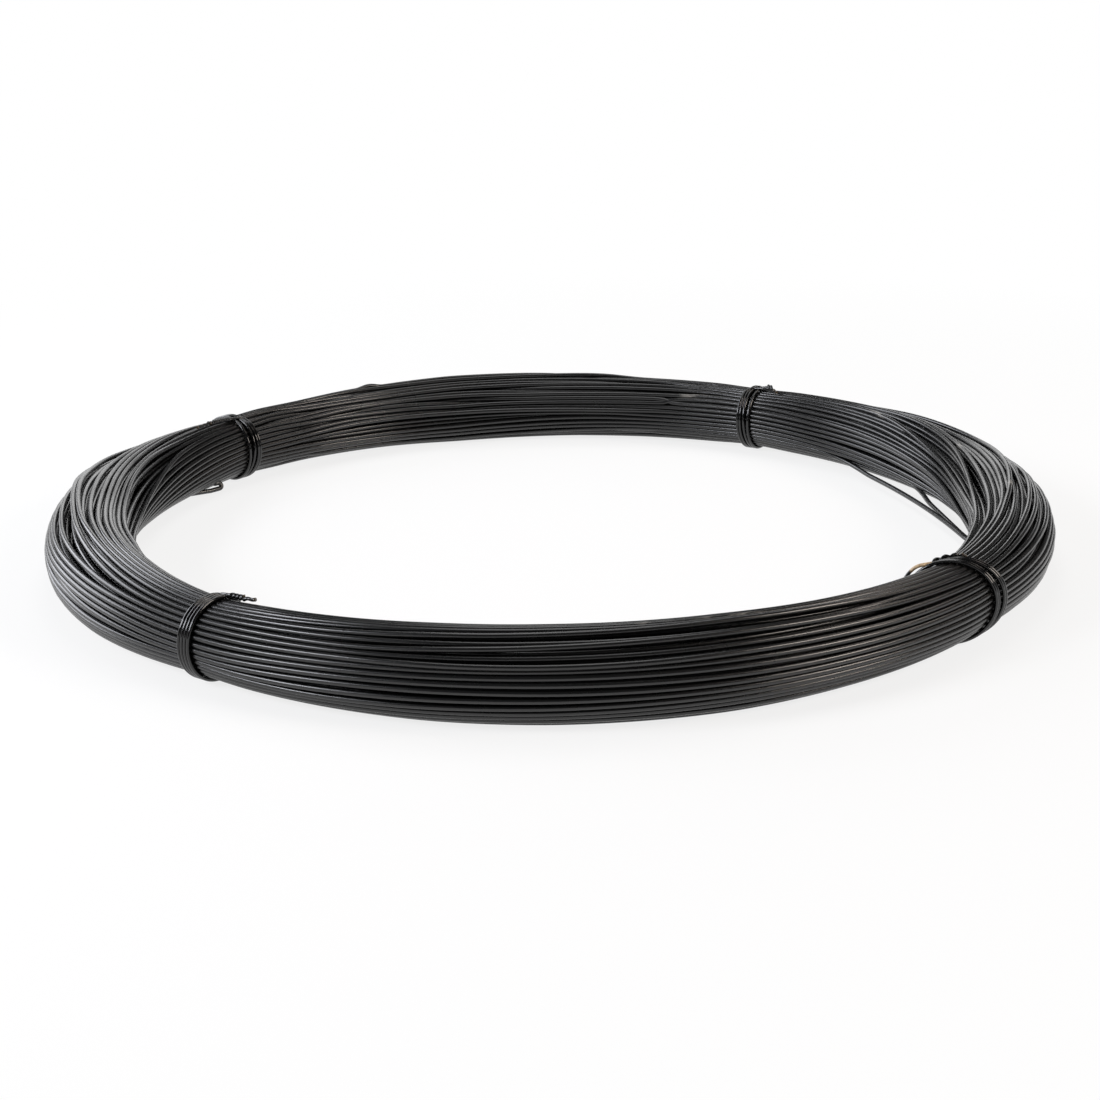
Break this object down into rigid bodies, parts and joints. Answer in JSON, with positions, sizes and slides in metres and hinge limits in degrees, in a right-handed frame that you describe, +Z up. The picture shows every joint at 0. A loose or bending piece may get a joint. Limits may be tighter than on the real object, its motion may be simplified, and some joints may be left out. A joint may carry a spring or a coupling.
{
  "type": "coil of wire",
  "caption": "Ring-shaped coil of plastic coated steel wire lying flat, its bundle of turns held by twisted wire ties, ready to drop over a pay-off hub.",
  "frame": {"origin": "on the coil's axis at the floor it lies on", "axes": "+Z up along the coil's axis, -Y towards the side nearest the camera, +X to the right as seen from there"},
  "size_m": [0.6002, 0.6004, 0.0495],
  "materials": {
    "coated_wire": "satin black plastic coating on steel wire",
    "tie_wire": "glossy black coating on thin tie wire"
  },
  "bodies": {
    "root": {"wire_coil": "coated_wire", "tie_front_left": "tie_wire", "tie_front_right": "tie_wire", "tie_back_left": "tie_wire", "tie_back_right": "tie_wire"}
  },
  "joints": []
}
